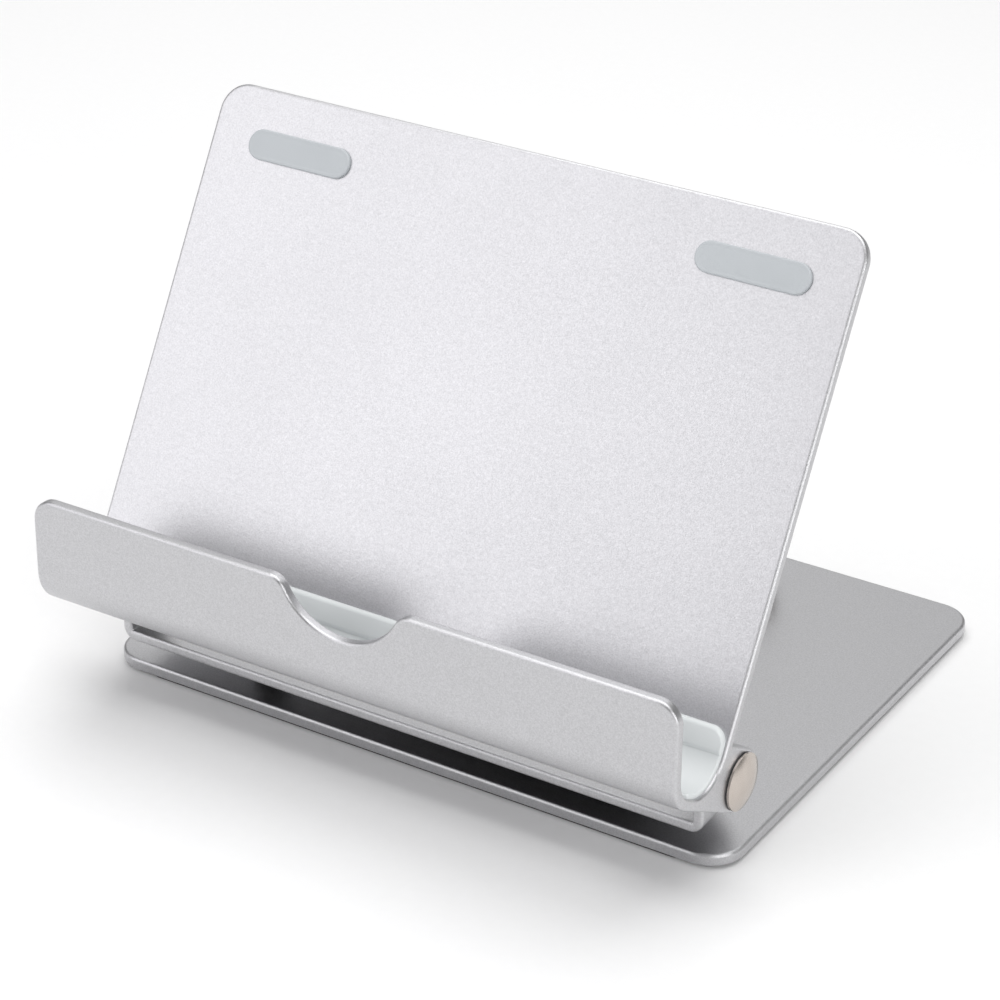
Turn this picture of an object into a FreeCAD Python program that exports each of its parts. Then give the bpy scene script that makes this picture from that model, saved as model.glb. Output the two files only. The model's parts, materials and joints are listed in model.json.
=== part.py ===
import FreeCAD, Part
import math
import os
import Sketcher

# Folding tablet stand.  Three sheet-metal leaves are joined in a Z: a base that lies on the
# table, an arm that lifts about a friction hinge near the base's rear edge, and a cradle that
# tilts about a second friction hinge at the arm's front edge.
# Frame: millimetres, +Z up, +Y towards the rear of the stand, +X to the right as the user sees
# it.  The origin is on the table, under the middle of the whole stand as it rests.

doc = FreeCAD.newDocument("tablet_stand")
X_AXIS = FreeCAD.Vector(1, 0, 0)
Y_AXIS = FreeCAD.Vector(0, 1, 0)
Z_AXIS = FreeCAD.Vector(0, 0, 1)
SIDES = {"left": -1, "right": 1}

# ---------------------------------------------------------------- driving dimensions

DIMENSIONS = [
    ("stand_width", 205, "width of the base and of the cradle"),
    ("sheet_thick", 3.2, "thickness of the arm and of the cradle"),
    ("base_thick", 3.7, "thickness of the base"),
    ("edge_round", 0.8, "rounding on the sheets' edges"),
    ("play", 0.05, "radial running clearance round every shaft"),
    ("base_depth", 158, "front to rear"),
    ("base_corner", 10.5, "corner radius of the base"),
    ("foot_thick", 1, "rubber strip under the base"),
    ("foot_width", 8, "front to rear"),
    ("foot_length", 176, "left to right"),
    ("foot_setback", 1.2, "from the base's edge"),
    ("foot_corner", 2.5, "corner radius of a rubber strip"),
    ("arm_gap", 7, "air between the base and the resting arm"),
    ("arm_reach", 132, "from the lift axis to the tilt axis, front to rear"),
    ("arm_width", 191.4, "outside the two ears"),
    ("arm_waist", 84, "width of the arm's rear half"),
    ("arm_taper_depth", 45, "front to rear length of the tapered stretch"),
    ("arm_corner", 12, "rounding where the taper starts and ends"),
    ("ear_radius", 7.25, "rounded top of an ear"),
    ("ear_depth", 20, "an ear's length along the arm's edge"),
    ("ear_bend", 4, "outside radius of the bend under an ear"),
    ("tilt_axis_setback", 6, "from the base's front edge"),
    ("tilt_axis_rise", 27.5, "height above the table"),
    ("rest_angle", 60, "between the cradle's plate and the table"),
    ("axis_offset", 14, "from the plate's front face back to the tilt axis"),
    ("plate_reach", 146, "from the tilt axis up to the plate's top edge"),
    ("plate_corner", 8.5, "top corners of the plate"),
    ("lug_radius", 9, "hinge lug at each end of the cradle"),
    ("lug_thick", 6, "left to right"),
    ("channel_width", 20, "between the plate and the lip, at the floor"),
    ("channel_bend", 12, "inside radius from plate to floor"),
    ("lip_bend", 9, "inside radius from floor to lip"),
    ("lip_flare", 30, "lean of the lip away from the plate, degrees"),
    ("lip_height", 30.6, "outside, from the floor's underside"),
    ("lip_corner", 6.5, "top corners of the lip"),
    ("notch_radius", 20, "finger notch in the lip"),
    ("notch_depth", 13.4, "below the lip's top edge"),
    ("notch_round", 5, "where the notch meets the top edge"),
    ("liner_back_thick", 2, "liner on the plate"),
    ("liner_floor_thick", 1.2, "liner on the floor"),
    ("liner_top", 13.2, "liner's top edge above the tilt axis, along the plate"),
    ("liner_step", 6.4, "where the thick part of the liner ends"),
    ("liner_corner", 5, "top corners of the liner"),
    ("liner_length", 203, "left to right"),
    ("pad_length", 34.2, "upper pads"),
    ("pad_width", 8.8, "upper pads"),
    ("pad_thick", 1, "upper pads"),
    ("pad_spacing", 144.4, "between the two upper pads' centres"),
    ("pad_rise", 130, "above the tilt axis, along the plate"),
    ("bolt_dia", 6, "shank of all hinge bolts"),
    ("head_dia", 16.2, "domed heads of the tilt hinge"),
    ("head_rise", 2.6, "height of a domed head"),
    ("head_rim", 0.6, "straight rim under the dome"),
    ("outer_washer", 0.4, "black washer under a domed head"),
    ("friction_washer", 0.75, "between an ear and a lug"),
    ("washer_inset", 0.2, "how far a washer stays inside the metal beside it"),
    ("plain_washer", 1, "steel washer behind an ear"),
    ("spring_height", 1.3, "disc spring, squeezed"),
    ("spring_rim", 6.2, "radius of the disc spring's wide rim"),
    ("spring_mouth", 4.6, "radius of the disc spring's narrow rim"),
    ("spring_sheet", 0.7, "thickness of the disc spring's metal, along the bolt"),
    ("spring_wall", 0.9, "thickness of the disc spring's metal, across the bolt"),
    ("nut_flats", 10, "across the flats"),
    ("nut_hex_height", 3.5, "hexagonal part of the lock nut"),
    ("nut_collar_dia", 8.6, "round collar of the lock nut"),
    ("nut_height", 5, "lock nut with its collar"),
    ("thread_end", 1, "bolt's end behind its nut"),
    ("lift_head_dia", 15, "domed head of the lift hinge"),
    ("barrel_radius", 8.2, "knuckles of the lift hinge"),
    ("barrel_length", 56, "knuckle on the arm"),
    ("base_lug_thick", 7, "knuckle on the base, left to right"),
    ("lug_foot_depth", 22, "foot of a base lug, front to rear"),
    ("lug_foot_height", 4.4, "foot of a base lug"),
    ("lug_screw_reach", 7, "from the lift axis to a base screw, front to rear"),
    ("lift_washer", 0.9, "between the knuckles"),
    ("flange_depth", 26, "from the lift axis to the flange's front edge"),
    ("flange_thick", 3.4, "flange under the arm's sheet"),
    ("screw_dia", 3, "countersunk screws"),
    ("screw_head", 1.5, "height of the 90 degree countersunk head"),
    ("screw_length", 6.2, "with the head"),
    ("screw_end_gap", 0.3, "blind hole beyond a screw's end"),
    ("socket_flats", 2, "hexagon socket, across the flats"),
    ("socket_depth", 1.2, "hexagon socket"),
    ("arm_screw_spacing", 22, "between the screws of the flange"),
    ("bumper_dia", 10, "rubber bumper under the arm"),
    ("bumper_spacing", 120, "between the bumpers' centres"),
    ("bumper_setback", 16, "behind the tilt axis"),
    ("bumper_gap", 0.3, "air under a bumper at rest"),
]

sheet = doc.addObject("Spreadsheet::Sheet", "dims")
for row, (alias, size, meaning) in enumerate(DIMENSIONS, start=1):
    sheet.set("A%d" % row, meaning)
    sheet.set("B%d" % row, str(size))
    sheet.setAlias("B%d" % row, alias)
doc.recompute()


def dim(alias):
    return float(sheet.get(alias))


# ---------------------------------------------------------------- derived places

flare = math.radians(dim("lip_flare"))
recline = math.radians(90 - dim("rest_angle"))
lip_reach = dim("axis_offset") + dim("channel_width") + dim("sheet_thick") / math.cos(flare)
lip_face = lip_reach * math.cos(recline) + (dim("lug_radius") - dim("sheet_thick")) * math.sin(recline)
lip_overhang = lip_face - dim("tilt_axis_setback")

base_top = dim("foot_thick") + dim("base_thick")
base_front = (lip_overhang - dim("base_depth")) / 2
base_rear = base_front + dim("base_depth")
arm_bottom = base_top + dim("arm_gap")
tilt_axis = FreeCAD.Vector(0, base_front + dim("tilt_axis_setback"), dim("tilt_axis_rise"))
lift_axis = FreeCAD.Vector(0, tilt_axis.y + dim("arm_reach"), arm_bottom + dim("sheet_thick") / 2)
ear_rise = tilt_axis.z - lift_axis.z
half_width = dim("stand_width") / 2
half_arm = dim("arm_width") / 2

# Cradle parts are drawn with the plate upright and the tilt axis at the origin, then leaned back.
cradle_place = FreeCAD.Placement(tilt_axis, FreeCAD.Rotation(X_AXIS, dim("rest_angle") - 90))
arm_place = FreeCAD.Placement(lift_axis, FreeCAD.Rotation())

# ---------------------------------------------------------------- helpers

sub_parts = []


def vec(x, y, z=0):
    return FreeCAD.Vector(x, y, z)


def bind(thing, **formulas):
    for name, formula in formulas.items():
        thing.setExpression(name, formula)


def new_body(label, place=FreeCAD.Placement()):
    body = doc.addObject("PartDesign::Body", label)
    body.Label = label
    body.Placement = place
    sub_parts.append(body)
    return body


def new_sketch(body, plane_role, name, offset=0.0, tilt=None):
    """A sketch on one of the body's own origin planes, moved along its normal or tilted."""
    sketch = body.newObject("Sketcher::SketchObject", body.Name + "_" + name)
    plane = [item for item in body.Origin.OriginFeatures if item.Role == plane_role][0]
    sketch.AttachmentSupport = (plane, [""])
    sketch.MapMode = "FlatFace"
    sketch.AttachmentOffset = tilt or FreeCAD.Placement(vec(0, 0, offset), FreeCAD.Rotation())
    return sketch


def add_path(sketch, edges):
    """Adds a closed chain of edges and joins each one's end to the next one's start."""
    first = sketch.addGeometry(edges[0])
    for edge in edges[1:]:
        sketch.addGeometry(edge)
    for index in range(len(edges)):
        here = first + index
        following = first + (index + 1) % len(edges)
        for end, start in ((2, 1), (1, 1), (2, 2), (1, 2)):
            if sketch.getPoint(here, end).isEqual(sketch.getPoint(following, start), 1e-4):
                sketch.addConstraint(Sketcher.Constraint("Coincident", here, end, following, start))
                break
    return first


def add_polygon(sketch, points):
    """Closed outline of straight lines; returns the index of the first line."""
    edges = [Part.LineSegment(points[i], points[(i + 1) % len(points)]) for i in range(len(points))]
    return add_path(sketch, edges)


def fix(sketch, kind, args, formula=None):
    """Adds a constraint, and binds its value to the sheet when a formula is given."""
    index = sketch.addConstraint(Sketcher.Constraint(kind, *args))
    if formula:
        sketch.setExpression("Constraints[%d]" % index, formula)
    return index


def add_rectangle(sketch, width, depth, width_formula, depth_formula, centre_y=0.0):
    """Rectangle about the sketch's vertical axis, with its size bound to the sheet."""
    half = width / 2
    low, high = centre_y - depth / 2, centre_y + depth / 2
    line = add_polygon(sketch, [vec(-half, low), vec(half, low), vec(half, high), vec(-half, high)])
    fix(sketch, "Horizontal", (line,))
    fix(sketch, "Vertical", (line + 1,))
    fix(sketch, "Symmetric", (line + 3, 1, line + 1, 2, -2))
    fix(sketch, "DistanceX", (line, 1, line, 2, width), width_formula)
    fix(sketch, "DistanceY", (line + 1, 1, line + 1, 2, depth), depth_formula)
    fix(sketch, "Vertical", (line + 3,))
    fix(sketch, "DistanceY", (-1, 1, line, 1, low))
    return line


def add_circle(sketch, x, y, radius, formula):
    circle = sketch.addGeometry(Part.Circle(vec(x, y), vec(0, 0, 1), radius))
    fix(sketch, "Radius", (circle, radius), formula)
    fix(sketch, "DistanceX", (-1, 1, circle, 3, x))
    fix(sketch, "DistanceY", (-1, 1, circle, 3, y))
    return circle


def pad(body, sketch, formula, symmetric=False, reverse=False):
    feature = body.newObject("PartDesign::Pad", sketch.Name + "_pad")
    feature.Profile = sketch
    feature.SideType = "Symmetric" if symmetric else "One side"
    feature.Reversed = reverse
    feature.setExpression("Length", formula)
    sketch.Visibility = False
    doc.recompute()
    return feature


def pocket(body, sketch, formula, symmetric=False, reverse=False):
    """Cuts the sketch out of the body and makes sure that it took material away."""
    before = body.Shape.Volume
    feature = body.newObject("PartDesign::Pocket", sketch.Name + "_pocket")
    feature.Profile = sketch
    feature.SideType = "Symmetric" if symmetric else "One side"
    feature.Reversed = reverse
    feature.setExpression("Length", formula)
    doc.recompute()
    if body.Shape.Volume >= before - 1e-6:
        raise RuntimeError(feature.Label + " cuts nothing")
    return feature


def edges_where(feature, test):
    """Names of the feature's edges whose bounding box and middle point pass the test."""
    names = []
    for index, edge in enumerate(feature.Shape.Edges, start=1):
        if test(edge.BoundBox, edge.CenterOfMass):
            names.append("Edge%d" % index)
    return names


def round_edges(body, base, test, formula, kind="Fillet"):
    names = edges_where(base, test)
    if not names:
        raise RuntimeError("no edges to round on " + base.Label)
    name = "%s_%s%d" % (body.Name, kind.lower(), len(body.Group))
    feature = body.newObject("PartDesign::" + kind, name)
    feature.Base = (base, names)
    feature.setExpression("Radius" if kind == "Fillet" else "Size", formula)
    doc.recompute()
    if feature.Shape.isNull():
        raise RuntimeError(feature.Label + " made no shape")
    return feature


def near(a, b, gap=0.01):
    return abs(a - b) < gap


def flat_at(box, low, high, value):
    """True when an edge lies in one plane: both limits of its box equal the value."""
    return near(getattr(box, low), value) and near(getattr(box, high), value)


def rod(name, radius_formula, height_formula, start, length_sign=1):
    """Cylinder along X from the start point, towards +X or -X."""
    cylinder = doc.addObject("Part::Cylinder", name)
    bind(cylinder, Radius=radius_formula, Height=height_formula)
    cylinder.Placement = FreeCAD.Placement(start, FreeCAD.Rotation(Y_AXIS, 90 * length_sign))
    return cylinder


def combine(kind, name, base, tool):
    feature = doc.addObject("Part::" + kind, name)
    feature.Base = base
    feature.Tool = tool
    return feature


def finish_part(feature, label):
    feature.Label = label
    sub_parts.append(feature)
    return feature


def washer(label, outer_formula, thick_formula, start, side):
    """Flat ring round a hinge bolt, starting at a point and growing outwards."""
    disc = rod(label + "_disc", outer_formula, thick_formula, start, side)
    hole = rod(label + "_hole", "dims.bolt_dia / 2 + dims.play", thick_formula, start, side)
    return finish_part(combine("Cut", label + "_ring", disc, hole), label)


def disc_spring(label, start, side):
    """Dished steel ring: a cone of sheet metal round the bolt, wide rim first."""
    cones = []
    for name, grow in (("skin", 0), ("core", 1)):
        cone = doc.addObject("Part::Cone", label + "_" + name)
        bind(
            cone,
            Radius1="dims.spring_rim - %d * dims.spring_wall" % grow,
            Radius2="dims.spring_mouth - %d * dims.spring_wall" % grow,
            Height="dims.spring_height")
        shift = vec(-side * grow * dim("spring_sheet"), 0, 0)
        cone.Placement = FreeCAD.Placement(start + shift, FreeCAD.Rotation(Y_AXIS, 90 * side))
        cones.append(cone)
    shell = combine("Cut", label + "_shell", cones[0], cones[1])
    hole_start = start - vec(side * dim("spring_height"), 0, 0)
    hole = rod(label + "_hole", "dims.bolt_dia / 2 + dims.play", "3 * dims.spring_height", hole_start, side)
    return finish_part(combine("Cut", label + "_ring", shell, hole), label)


def lock_nut(label, start, side):
    """Hexagonal nut with a low round collar on the side that faces away from the washers."""
    prism = doc.addObject("Part::Prism", label + "_prism")
    prism.Polygon = 6
    bind(prism, Circumradius="dims.nut_flats / sqrt(3)", Height="dims.nut_hex_height")
    prism.Placement = FreeCAD.Placement(start, FreeCAD.Rotation(Y_AXIS, 90 * side))
    collar = rod(label + "_collar", "dims.nut_collar_dia / 2", "dims.nut_height", start, side)
    blank = combine("Fuse", label + "_blank", prism, collar)
    bore = rod(label + "_bore", "dims.bolt_dia / 2 + dims.play", "dims.nut_height", start, side)
    return finish_part(combine("Cut", label + "_bored", blank, bore), label)


def domed_bolt(label, head_start, side, head_alias, shank_formula):
    """Bolt along X: a low dome on the outside of head_start, a shank running inwards from it."""
    dome_rise = dim("head_rise") - dim("head_rim")
    dome_radius = ((dim(head_alias) / 2) ** 2 + dome_rise ** 2) / (2 * dome_rise)
    rim = rod(label + "_rim", "dims.%s / 2" % head_alias, "dims.head_rise", head_start, side)
    dome = doc.addObject("Part::Sphere", label + "_dome")
    dome.Radius = dome_radius
    dome.Placement.Base = head_start + vec(side * (dim("head_rise") - dome_radius), 0, 0)
    head = combine("Common", label + "_head", rim, dome)
    shank = rod(label + "_shank", "dims.bolt_dia / 2", shank_formula, head_start, -side)
    return finish_part(combine("Fuse", label + "_blank", head, shank), label)


def countersunk_screw(name, place):
    """Screw whose head is flush with z = 0 and whose shank points to -Z."""
    cone = doc.addObject("Part::Cone", name + "_cone")
    bind(
        cone,
        Radius1="dims.screw_dia / 2",
        Radius2="dims.screw_dia / 2 + dims.screw_head",
        Height="dims.screw_head")
    cone.Placement.Base = vec(0, 0, -dim("screw_head"))
    shank = doc.addObject("Part::Cylinder", name + "_shank")
    bind(shank, Radius="dims.screw_dia / 2", Height="dims.screw_length")
    shank.Placement.Base = vec(0, 0, -dim("screw_length"))
    blank = combine("Fuse", name + "_blank", cone, shank)
    socket = doc.addObject("Part::Prism", name + "_socket")
    socket.Polygon = 6
    bind(socket, Circumradius="dims.socket_flats / sqrt(3)", Height="dims.socket_depth")
    socket.Placement.Base = vec(0, 0, -dim("socket_depth"))
    screw = combine("Cut", name, blank, socket)
    screw.Placement = place
    return screw


def group_part(label, solids):
    group = doc.addObject("Part::Compound", label + "_set")
    group.Links = solids
    return finish_part(group, label)


def screw_holes(body, plane_height, places, depth_formula, upwards, sketch_name):
    """Clearance holes for countersunk screws, cut upwards or downwards from a level face."""
    sketch = new_sketch(body, "XY_Plane", sketch_name, plane_height)
    for x, y in places:
        add_circle(sketch, x, y, dim("screw_dia") / 2 + dim("play"), "dims.screw_dia / 2 + dims.play")
    return pocket(body, sketch, depth_formula, reverse=upwards)


def countersink(body, holes, places, face_height):
    """Widens the mouths of the screw holes in one level face to take the screws' heads."""
    return round_edges(
        body, holes,
        lambda box, mid: flat_at(box, "ZMin", "ZMax", face_height)
        and any(near(mid.x, x) and near(mid.y, y) for x, y in places),
        "dims.screw_head", "Chamfer")


# ---------------------------------------------------------------- base

lug_inner = dim("barrel_length") / 2 + dim("lift_washer") + dim("play") * 2
lug_middle = lug_inner + dim("base_lug_thick") / 2
lug_screws = [(0, step * dim("lug_screw_reach")) for step in (-1, 1)]
base_screws = [(side * lug_middle, lift_axis.y + y) for side in (-1, 1) for x, y in lug_screws]


def make_base_plate():
    body = new_body("base_plate")
    outline = new_sketch(body, "XY_Plane", "outline", dim("foot_thick"))
    middle = (base_front + base_rear) / 2
    width, depth = dim("stand_width"), dim("base_depth")
    add_rectangle(outline, width, depth, "dims.stand_width", "dims.base_depth", middle)
    feature = pad(body, outline, "dims.base_thick")
    feature = round_edges(
        body, feature,
        lambda box, mid: near(box.XLength, 0) and near(box.YLength, 0),
        "dims.base_corner")
    round_edges(
        body, feature,
        lambda box, mid: near(box.ZLength, 0),
        "dims.edge_round")
    underside = dim("foot_thick")
    holes = screw_holes(body, underside, base_screws, "dims.base_thick", True, "lug_screws")
    countersink(body, holes, base_screws, underside)


def make_foot(label, centre_y):
    """Rubber strip under the base."""
    body = new_body(label)
    outline = new_sketch(body, "XY_Plane", "outline")
    width, depth = dim("foot_length"), dim("foot_width")
    add_rectangle(outline, width, depth, "dims.foot_length", "dims.foot_width", centre_y)
    block = pad(body, outline, "dims.foot_thick")
    round_edges(
        body, block,
        lambda box, mid: near(box.XLength, 0) and near(box.YLength, 0),
        "dims.foot_corner")


def make_base_lug(label, side):
    """Upright block of the lift hinge: a round knuckle on a wider foot."""
    body = new_body(label, FreeCAD.Placement(lift_axis + vec(side * lug_middle, 0, 0), FreeCAD.Rotation()))
    radius = dim("barrel_radius")
    floor = base_top - lift_axis.z
    foot_half = dim("lug_foot_depth") / 2
    foot_top = floor + dim("lug_foot_height")
    profile = new_sketch(body, "YZ_Plane", "profile")
    profile.addGeometry([
        Part.Arc(vec(radius, 0), vec(0, radius), vec(-radius, 0)),
        Part.LineSegment(vec(-radius, 0), vec(-radius, foot_top)),
        Part.LineSegment(vec(-radius, foot_top), vec(-foot_half, foot_top)),
        Part.LineSegment(vec(-foot_half, foot_top), vec(-foot_half, floor)),
        Part.LineSegment(vec(-foot_half, floor), vec(foot_half, floor)),
        Part.LineSegment(vec(foot_half, floor), vec(foot_half, foot_top)),
        Part.LineSegment(vec(foot_half, foot_top), vec(radius, foot_top)),
        Part.LineSegment(vec(radius, foot_top), vec(radius, 0)),
    ])
    fix(profile, "Radius", (0, radius), "dims.barrel_radius")
    block = pad(body, profile, "dims.base_lug_thick", symmetric=True)
    round_edges(
        body, block,
        lambda box, mid: near(abs(mid.y), foot_half) and near(mid.z, foot_top),
        "dims.edge_round")
    bore = new_sketch(body, "YZ_Plane", "bore")
    add_circle(bore, 0, 0, dim("bolt_dia") / 2 + dim("play"), "dims.bolt_dia / 2 + dims.play")
    pocket(body, bore, "2 * dims.base_lug_thick", symmetric=True)
    depth = "dims.screw_length - dims.base_thick + dims.screw_end_gap"
    screw_holes(body, floor, lug_screws, depth, True, "screws")


def make_base_screws():
    solids = []
    for number, (x, y) in enumerate(base_screws, start=1):
        place = FreeCAD.Placement(vec(x, y, dim("foot_thick")), FreeCAD.Rotation(X_AXIS, 180))
        solids.append(countersunk_screw("base_lug_screw_%d" % number, place))
    group_part("base_lug_screws", solids)


# ---------------------------------------------------------------- arm

arm_front = -dim("arm_reach") - dim("ear_radius")
arm_rear = -dim("barrel_radius") - 2 * dim("play")
arm_screw_line = -(dim("barrel_radius") + dim("flange_depth")) / 2
arm_screws = [(step * dim("arm_screw_spacing"), arm_screw_line) for step in (-1, 0, 1)]


def arm_outline_points():
    taper_start = arm_front + dim("ear_depth")
    taper_end = taper_start + dim("arm_taper_depth")
    half_waist = dim("arm_waist") / 2
    right = [
        vec(half_arm, arm_front),
        vec(half_arm, taper_start),
        vec(half_waist, taper_end),
        vec(half_waist, arm_rear),
    ]
    left = [vec(-point.x, point.y) for point in reversed(right)]
    return right + left


def make_arm_plate():
    """Sheet with an ear folded up at each front corner; its frame is the lift axis."""
    body = new_body("arm_plate", arm_place)
    top = dim("sheet_thick") / 2
    outline = new_sketch(body, "XY_Plane", "outline", -top)
    line = add_polygon(outline, arm_outline_points())
    fix(outline, "Vertical", (line,))
    fix(outline, "Vertical", (line + 2,))
    fix(outline, "DistanceX", (line + 6, 2, line, 1, dim("arm_width")), "dims.arm_width")
    fix(outline, "DistanceX", (line + 4, 1, line + 2, 2, dim("arm_waist")), "dims.arm_waist")
    flat = pad(body, outline, "dims.sheet_thick")
    round_edges(
        body, flat,
        lambda box, mid: near(box.XLength, 0) and near(box.YLength, 0)
        and near(abs(mid.x), dim("arm_waist") / 2) and mid.y < arm_rear - 1,
        "dims.arm_corner")
    feature = add_ears(body)
    round_edges(
        body, feature,
        lambda box, mid: near(abs(mid.x), half_arm) and flat_at(box, "ZMin", "ZMax", -top),
        "dims.ear_bend")
    bore = new_sketch(body, "YZ_Plane", "bore")
    radius = dim("bolt_dia") / 2 + dim("play")
    add_circle(bore, -dim("arm_reach"), ear_rise, radius, "dims.bolt_dia / 2 + dims.play")
    pocket(body, bore, "2 * dims.arm_width", symmetric=True)
    holes = screw_holes(body, top, arm_screws, "dims.sheet_thick", False, "flange_screws")
    feature = countersink(body, holes, arm_screws, top)
    round_edges(body, feature, on_arm_outline, "dims.edge_round")


def on_arm_outline(box, mid):
    """Edges under the sheet, along its front and rear, and round the two ears."""
    top = dim("sheet_thick") / 2
    screw_mouth = dim("screw_dia") + 2 * dim("screw_head")
    under = flat_at(box, "ZMin", "ZMax", -top) and box.XLength > screw_mouth
    front_or_rear = near(mid.z, top) and (near(mid.y, arm_front) or near(mid.y, arm_rear))
    ear_faces = (half_arm, half_arm - dim("sheet_thick"))
    on_ear = near(box.XLength, 0) and any(near(abs(mid.x), face) for face in ear_faces)
    ear_round = on_ear and mid.z > ear_rise and not near(mid.y, -dim("arm_reach"))
    return under or front_or_rear or ear_round


def add_ears(body):
    """Ears: upright front edge, round top about the tilt axis, sloping rear edge."""
    radius = dim("ear_radius")
    centre = vec(-dim("arm_reach"), ear_rise)
    low = -dim("sheet_thick") / 2
    foot = vec(arm_front + dim("ear_depth"), 0)
    to_foot = foot - centre
    lean = math.atan2(to_foot.y, to_foot.x) + math.acos(radius / to_foot.Length)
    touch = centre + vec(radius * math.cos(lean), radius * math.sin(lean))
    top_middle = (lean + math.pi) / 2
    crown = centre + vec(radius * math.cos(top_middle), radius * math.sin(top_middle))
    front = centre - vec(radius, 0)
    feature = None
    for name, side in SIDES.items():
        profile = new_sketch(body, "YZ_Plane", name + "_ear", side * half_arm)
        profile.addGeometry([
            Part.LineSegment(vec(front.x, low), vec(foot.x, low)),
            Part.LineSegment(vec(foot.x, low), foot),
            Part.LineSegment(foot, touch),
            Part.Arc(touch, crown, front),
            Part.LineSegment(front, vec(front.x, low)),
        ])
        fix(profile, "Radius", (3, radius), "dims.ear_radius")
        feature = pad(body, profile, "dims.sheet_thick", reverse=side > 0)
    return feature


def make_arm_knuckle():
    """Barrel of the lift hinge with a flange that carries the arm's sheet."""
    start = lift_axis - vec(dim("barrel_length") / 2, 0, 0)
    barrel = rod("knuckle_barrel", "dims.barrel_radius", "dims.barrel_length", start)
    flange = doc.addObject("Part::Box", "knuckle_flange")
    bind(flange, Length="dims.barrel_length", Width="dims.flange_depth", Height="dims.flange_thick")
    flange_under = -dim("sheet_thick") / 2 - dim("flange_thick")
    flange.Placement.Base = start + vec(0, -dim("flange_depth"), flange_under)
    blank = combine("Fuse", "knuckle_blank", barrel, flange)
    bore = rod("knuckle_bore", "dims.bolt_dia / 2 + dims.play", "dims.barrel_length", start)
    drilled = combine("Cut", "knuckle_drilled", blank, bore)
    for number, (x, y) in enumerate(arm_screws, start=1):
        hole = doc.addObject("Part::Cylinder", "knuckle_screw_hole_%d" % number)
        bind(hole, Radius="dims.screw_dia / 2 + dims.play", Height="2 * dims.flange_thick")
        hole.Placement.Base = lift_axis + vec(x, y, -dim("sheet_thick") / 2 - 1.5 * dim("flange_thick"))
        drilled = combine("Cut", "knuckle_drilled_%d" % number, drilled, hole)
    finish_part(drilled, "arm_knuckle")


def make_arm_screws():
    solids = []
    for number, (x, y) in enumerate(arm_screws, start=1):
        top = lift_axis + vec(x, y, dim("sheet_thick") / 2)
        place = FreeCAD.Placement(top, FreeCAD.Rotation())
        solids.append(countersunk_screw("arm_knuckle_screw_%d" % number, place))
    group_part("arm_knuckle_screws", solids)


def make_bumper(label, side):
    """Rubber stop under the arm, just clear of the base."""
    stud = doc.addObject("Part::Cylinder", label + "_stud")
    bind(stud, Radius="dims.bumper_dia / 2", Height="dims.arm_gap - dims.bumper_gap")
    stud_y = tilt_axis.y + dim("bumper_setback")
    stud.Placement.Base = vec(side * dim("bumper_spacing") / 2, stud_y, base_top + dim("bumper_gap"))
    finish_part(stud, label)


# ---------------------------------------------------------------- lift hinge

CLAMP_STACK = "dims.plain_washer + dims.spring_height + dims.nut_height + dims.thread_end"


def make_lift_hinge():
    """One long bolt through both lugs and the knuckle, with its spring and nut on the right."""
    outer = lug_inner + dim("base_lug_thick")
    for name, side in SIDES.items():
        start = lift_axis + vec(side * (dim("barrel_length") / 2 + dim("play")), 0, 0)
        rim = "dims.barrel_radius - dims.washer_inset"
        washer("lift_friction_washer_" + name, rim, "dims.lift_washer", start, side)
    head = lift_axis - vec(outer, 0, 0)
    span = "dims.barrel_length + 2 * (dims.base_lug_thick + dims.lift_washer + 2 * dims.play)"
    domed_bolt("lift_hinge_bolt", head, -1, "lift_head_dia", span + " + " + CLAMP_STACK)
    start = lift_axis + vec(outer, 0, 0)
    washer("lift_plain_washer", "dims.bolt_dia", "dims.plain_washer", start, 1)
    start = start + vec(dim("plain_washer"), 0, 0)
    disc_spring("lift_disc_spring", start, 1)
    start = start + vec(dim("spring_height"), 0, 0)
    lock_nut("lift_hinge_nut", start, 1)


# ---------------------------------------------------------------- cradle

plate_front = -dim("axis_offset")
plate_rear = plate_front + dim("sheet_thick")
floor_under = -dim("lug_radius")
floor_top = floor_under + dim("sheet_thick")
lip_up = vec(-math.sin(flare), math.cos(flare))
lip_out = vec(-math.cos(flare), -math.sin(flare))
lip_inside_y = plate_front - dim("channel_width") + dim("lip_bend")
lip_inside_z = dim("lip_bend")


def cradle_profile_points():
    """Section of plate, floor and lip with sharp bends, drawn as (y, z)."""
    lip_inner_foot = vec(plate_front - dim("channel_width"), floor_top)
    outer_line = lip_inner_foot + lip_out * dim("sheet_thick")
    drop = (outer_line.y - floor_under) / math.cos(flare)
    lip_outer_foot = outer_line - lip_up * drop
    lip_outer_top = lip_outer_foot + lip_up * dim("lip_height")
    lip_inner_top = lip_outer_top - lip_out * dim("sheet_thick")
    return [
        vec(plate_rear, floor_under),
        lip_outer_foot,
        lip_outer_top,
        lip_inner_top,
        lip_inner_foot,
        vec(plate_front, floor_top),
        vec(plate_front, dim("plate_reach")),
        vec(plate_rear, dim("plate_reach")),
    ]


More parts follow.
